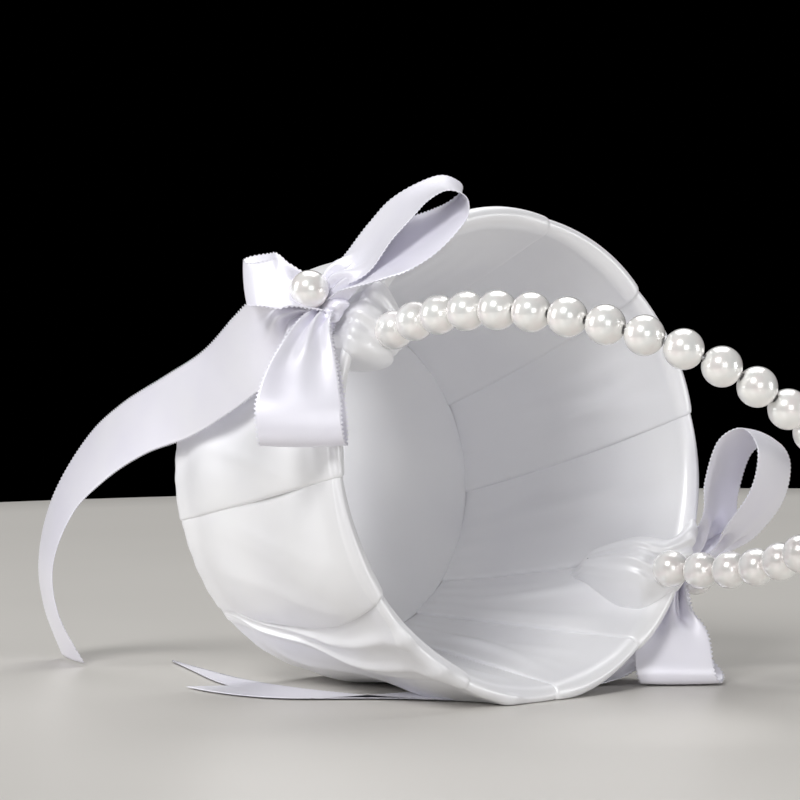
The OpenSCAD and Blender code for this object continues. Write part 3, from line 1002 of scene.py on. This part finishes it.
@dataclass
class Bow:
    """What ties a bow to the rim: the band over the rim, the knot and the pearl on it."""

    root: Root
    side: str
    cup: SatinCup
    band_w: float = 29.0 * MM
    # Where the band lies on the wall outside, in mm up the cup, and how far its edge and ridge are off it.
    wall_rows: tuple[float, ...] = (80, 85, 90, 94)
    wall_edge: float = -0.4
    wall_ridge: float = 1.3
    # From the rim inwards: radius and height of the band's edge, then of the hood's ridge over it, in mm.
    hood_rows: tuple[tuple[float, float, float, float], ...] = (
        (78.0, 96.4, 79.6, 97.4), (76.8, 96.7, 78.2, 99.4), (76.1, 96.3, 74.5, 100.6), (75.7, 95.0, 69.5, 100.8),
        (74.6, 92.5, 64.5, 100.2), (74.1, 90.0, 60.0, 97.8), (73.4, 87.0, 57.6, 93.6), (72.6, 83.0, 57.0, 88.0),
        (71.4, 77.0, 57.4, 80.0), (69.9, 70.0, 59.0, 71.0), (68.4, 63.0, 63.2, 64.0), (67.1, 57.0, 66.2, 57.4),
    )
    fold_h: float = 0.95 * MM
    least_tall: float = 1.2 * MM
    width_outside: float = 0.62
    width_lost_inside: float = 0.8
    knot_r: float = 7.0 * MM
    knot_h: float = 6.0 * MM
    knot_folds: int = 7
    knot_creases: int = 13

    def band(self, matrix: Matrix, material: bpy.types.Material) -> bpy.types.Object:
        """The gathered satin that goes over the rim and hoods the wire's eye and its first pearl."""
        cup = self.cup
        wall = [(cup.outer_r(z * MM) / MM, z) for z in self.wall_rows]
        rows = [(r + self.wall_edge, z, r + self.wall_ridge, z) for r, z in wall] + list(self.hood_rows)
        both = catmull(np.array(rows), 5) * MM
        foot, ridge = both[:, :2], both[:, 2:]
        step = np.r_[0, np.cumsum(np.linalg.norm(np.diff(ridge, axis=0), axis=1))]
        share = (step / step[-1])[:, None]
        across = np.linspace(-1, 1, 49)[None, :]
        arch = (1 - np.abs(across) ** 3.2) ** 0.5
        folds = 0.75 * np.cos(np.pi * (2.7 * across + 0.7 * share)) + 0.35 * np.cos(np.pi * (6 * across - 1.6 * share))
        tall = np.linalg.norm(ridge - foot, axis=1)[:, None]
        lift = arch * (1 + folds * self.fold_h / np.maximum(tall, self.least_tall) * (1 - across**2))
        spot = foot[:, None, :] + (ridge - foot)[:, None, :] * lift[..., None]
        half = self.band_w / 2 * (self.width_outside + (1 - self.width_outside) * ease(0.0, 0.3, share))
        half = half * (1 - self.width_lost_inside * ease(0.55, 1.0, share))
        wire, bow = self.root.value
        lead = np.radians(bow + (wire - bow) * ease(0.25, 0.45, share))
        turn_by = lead + across * half / cup.mouth_r
        local = np.stack([spot[..., 0] * np.cos(turn_by), spot[..., 0] * np.sin(turn_by), spot[..., 1]], -1)
        uv = np.stack([across * half, np.broadcast_to(step[:, None], turn_by.shape)], -1)
        made = grid_object(f"{self.side}_rim_band", placed(local, matrix), uv, material)
        subdivide(made)
        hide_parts(f"{self.side}_rim_wrap")
        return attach(made, "cup")

    def knot(self, matrix: Matrix, material: bpy.types.Material) -> bpy.types.Object:
        """The tight knot: a squat bundle of folds drawn in round its middle."""
        low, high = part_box(f"{self.side}_knot")
        middle = np.array((low + high) / 2)
        out = math.radians(self.root.value[1])
        axis = np.array(matrix.to_3x3() @ Vector((math.cos(out), math.sin(out), 0)))
        along = np.array(matrix.to_3x3() @ Vector((0, 0, 1)))
        round_way = np.cross(axis, along)
        polar = np.linspace(0.02, math.pi - 0.02, 40)[:, None]
        turn = np.radians(np.linspace(0, 360, 97))[None, :]
        ridge = 0.11 * np.cos(self.knot_folds * turn + 2.2 * np.cos(polar))
        ridge = ridge + 0.05 * np.cos(self.knot_creases * turn + 1.0 - 1.4 * polar)
        swell = 1 + ridge * np.sin(polar) ** 0.6
        r = self.knot_r * np.sin(polar) ** 0.75 * swell
        h = self.knot_h / 2 * np.cos(polar) * (1 + 0.3 * np.sin(polar)) + 0 * turn
        points = (
            middle
            + axis * h[..., None]
            + along * (r * np.cos(turn))[..., None]
            + round_way * (r * np.sin(turn))[..., None]
        )
        uv = np.stack([r * np.cos(turn), r * np.sin(turn)], -1)
        made = grid_object(f"{self.side}_bow_knot", points, uv, material)
        weld(made)
        subdivide(made)
        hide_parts(f"{self.side}_knot")
        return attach(made, "cup")

    def build(
        self, matrix: Matrix, finishes: dict[Finish, bpy.types.Material], beads: "Beads"
    ) -> list[bpy.types.Object]:
        """Builds the band and the knot and sets the pearl on them."""
        ribbon = finishes[Finish.RIBBON]
        pearl = beads.bead(f"{self.side}_bow_pearl", None, "cup", finishes[Finish.PEARL])
        return [self.band(matrix, finishes[Finish.SATIN]), self.knot(matrix, ribbon), pearl]


# ---------------------------------------------------------------- the beaded handle


@dataclass
class Beads:
    """The handle's pearls: moulded, drilled and dipped."""

    radius: float = 6.0 * MM
    hole_r: float = 1.15 * MM
    lip: float = 0.35 * MM
    hole_depth: float = 1.6 * MM
    mould_line: float = 0.0012

    def outline(self, drilled: bool) -> list[tuple[float, float]]:
        """Half the bead's section, from pole to pole: radius and height."""
        start = math.asin((self.hole_r + self.lip) / self.radius) if drilled else 0.0
        steps = np.linspace(start, math.pi - start, 61 if drilled else 65)
        ball = [(self.radius * math.sin(a), self.radius * math.cos(a)) for a in steps]
        if not drilled:
            return ball
        top = self.radius * math.cos(start)
        mouth = [
            (self.hole_r, top - self.hole_depth),
            (self.hole_r, top - self.lip),
            (self.hole_r + 0.1 * MM, top - 0.1 * MM),
        ]
        return mouth + ball + [(r, -z) for r, z in reversed(mouth)]

    def bead(
        self, node: str, way: Vector | None, body: str, material: bpy.types.Material
    ) -> bpy.types.Object:
        """Makes one pearl where its CAD node is.

        Args:
            node: The CAD node that it stands for.
            way: The wire's direction through it, or None for a pearl with no hole.
            body: The CAD body that it rides on.
            material: The finish.

        Returns:
            The pearl.
        """
        low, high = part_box(node)
        line = np.array(self.outline(way is not None))
        turn = np.radians(np.linspace(0, 360, 65))
        # A faint mould line round the middle, as moulded beads have under their lacquer.
        r = line[:, 0][:, None] * (1 + self.mould_line * np.cos(turn * 2)[None, :])
        points = np.stack([r * np.cos(turn), r * np.sin(turn), line[:, 1][:, None] + 0 * turn], -1)
        uv = np.stack([turn[None, :] * self.radius + 0 * r, line[:, 1][:, None] + 0 * r], -1)
        made = grid_object(f"{node}_lacquered", points[::-1], uv[::-1], material)
        weld(made)
        made.location = (low + high) / 2
        if way is not None:
            made.rotation_euler = way.to_track_quat("Z", "X").to_euler()
        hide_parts(node)
        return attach(made, body)

    def build(self, finishes: dict[Finish, bpy.types.Material]) -> list[bpy.types.Object]:
        """Threads every pearl on the wire and dresses the wire and its pins."""
        nodes = sorted(n for n in frame["nodes"] if n.startswith("handle_pearl_"))
        centres = [(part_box(n)[0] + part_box(n)[1]) / 2 for n in nodes]
        made = []
        for i, node in enumerate(nodes):
            way = centres[min(i + 1, len(nodes) - 1)] - centres[max(i - 1, 0)]
            made.append(self.bead(node, way, "handle", finishes[Finish.PEARL]))
        for node in ("handle_wire", "left_pivot_pin", "right_pivot_pin"):
            dress(node, finishes[Finish.WIRE])
        return made


# ---------------------------------------------------------------- stage


@dataclass(frozen=True)
class Softbox:
    """One lamp: metres to the right, upwards and back towards the camera from the aim, size and power."""

    name: str
    place: tuple[float, float, float]
    size: tuple[float, float]
    watts: float


SOFTBOXES = (
    Softbox("key_softbox", (-1.1, 1.7, 2.2), (0.9, 0.9), 54),
    Softbox("side_window", (2.0, 0.2, 0.6), (0.5, 0.7), 10),
    Softbox("left_fill", (-2.2, 0.6, 0.2), (0.9, 1.4), 17),
    Softbox("overhead", (0.1, 2.4, -0.9), (2.0, 2.0), 44),
    Softbox("front_fill", (0.7, 0.5, 3.2), (1.4, 1.4), 18),
)


@dataclass
class Studio:
    """The table, the lamps and the camera."""

    table_centre: tuple[float, float] = (0.2, -0.05)
    table_r: float = 0.86
    table_round: float = 0.006
    table_thick: float = 0.03
    aim: tuple[float, float, float] = (0.01403, 0.0446, 0.09227)
    azimuth: float = -40.72
    elevation: float = 2.446
    distance: float = 1.1458
    lens: float = 153.3
    sensor: float = 36.0

    def axes(self) -> tuple[Vector, Vector, Vector]:
        """The camera's right, up and back directions."""
        a, e = math.radians(self.azimuth), math.radians(self.elevation)
        back = Vector((math.sin(a) * math.cos(e), -math.cos(a) * math.cos(e), math.sin(e)))
        right = Vector((0, 0, 1)).cross(back).normalized()
        return right, back.cross(right), back

    def camera(self) -> None:
        """Sets up the camera."""
        right, up, back = self.axes()
        data = bpy.data.cameras.new("camera")
        data.lens, data.sensor_width, data.clip_end = self.lens, self.sensor, 20.0
        camera = bpy.data.objects.new("camera", data)
        camera.matrix_world = Matrix((right, up, back)).transposed().to_4x4()
        camera.location = Vector(self.aim) + back * self.distance
        bpy.context.scene.collection.objects.link(camera)
        bpy.context.scene.camera = camera

    def lamp(self, box: Softbox) -> None:
        """Adds one softbox, turned to the aim."""
        data = bpy.data.lights.new(box.name, "AREA")
        data.shape, data.size, data.size_y = "RECTANGLE", *box.size
        data.energy, data.color = box.watts, linear("#FFFFFF")[:3]
        lamp = bpy.data.objects.new(box.name, data)
        aim = Vector(self.aim)
        lamp.location = aim + sum((way * far for way, far in zip(self.axes(), box.place)), Vector())
        lamp.rotation_euler = (lamp.location - aim).to_track_quat("Z", "Y").to_euler()
        bpy.context.scene.collection.objects.link(lamp)

    def table(self) -> None:
        """A round pale table with a softly rounded edge."""
        edge = self.table_r + self.table_round
        radii = np.r_[0.0, np.linspace(0.1, self.table_r, 12), edge, edge]
        drops = np.r_[np.zeros(len(radii) - 2), self.table_round, self.table_thick]
        turn = np.radians(np.linspace(0, 360, 181))
        points = np.stack(
            [
                self.table_centre[0] + radii[:, None] * np.cos(turn),
                self.table_centre[1] + radii[:, None] * np.sin(turn),
                -drops[:, None] + 0 * turn,
            ],
            -1,
        )
        made = grid_object("table_top", points, points[..., :2].copy(), LacqueredTop().make())
        weld(made)

    def build(self) -> None:
        """Builds the stage and lights it against a dark room."""
        self.camera()
        self.table()
        for box in SOFTBOXES:
            self.lamp(box)
        world = bpy.data.worlds.new("dark_room")
        world.use_nodes = True
        world.node_tree.nodes["Background"].inputs["Color"].default_value = linear("#000000")
        bpy.context.scene.world = world
        bpy.context.scene.view_settings.view_transform = "Standard"


def main() -> None:
    """Builds the basket piece by piece."""
    logging.basicConfig(level=logging.INFO, format="%(name)s: %(message)s")
    Studio().build()
    finishes = make_finishes()
    matrix = cup_matrix()
    foot = np.array([matrix.translation.x, matrix.translation.y, 0.0])
    cup, beads = SatinCup(), Beads()
    made = cup.build(matrix, finishes)
    made += [ribbon.build(foot, finishes[Finish.RIBBON]) for ribbon in RIBBONS]
    for root, side in ((Root.LEFT, "left"), (Root.RIGHT, "right")):
        made += Bow(root, side, cup).build(matrix, finishes, beads)
    made += beads.build(finishes)
    for piece in made:
        log.info("%s: %d faces", piece.name, len(piece.data.polygons))


if __name__ == "__main__":
    main()
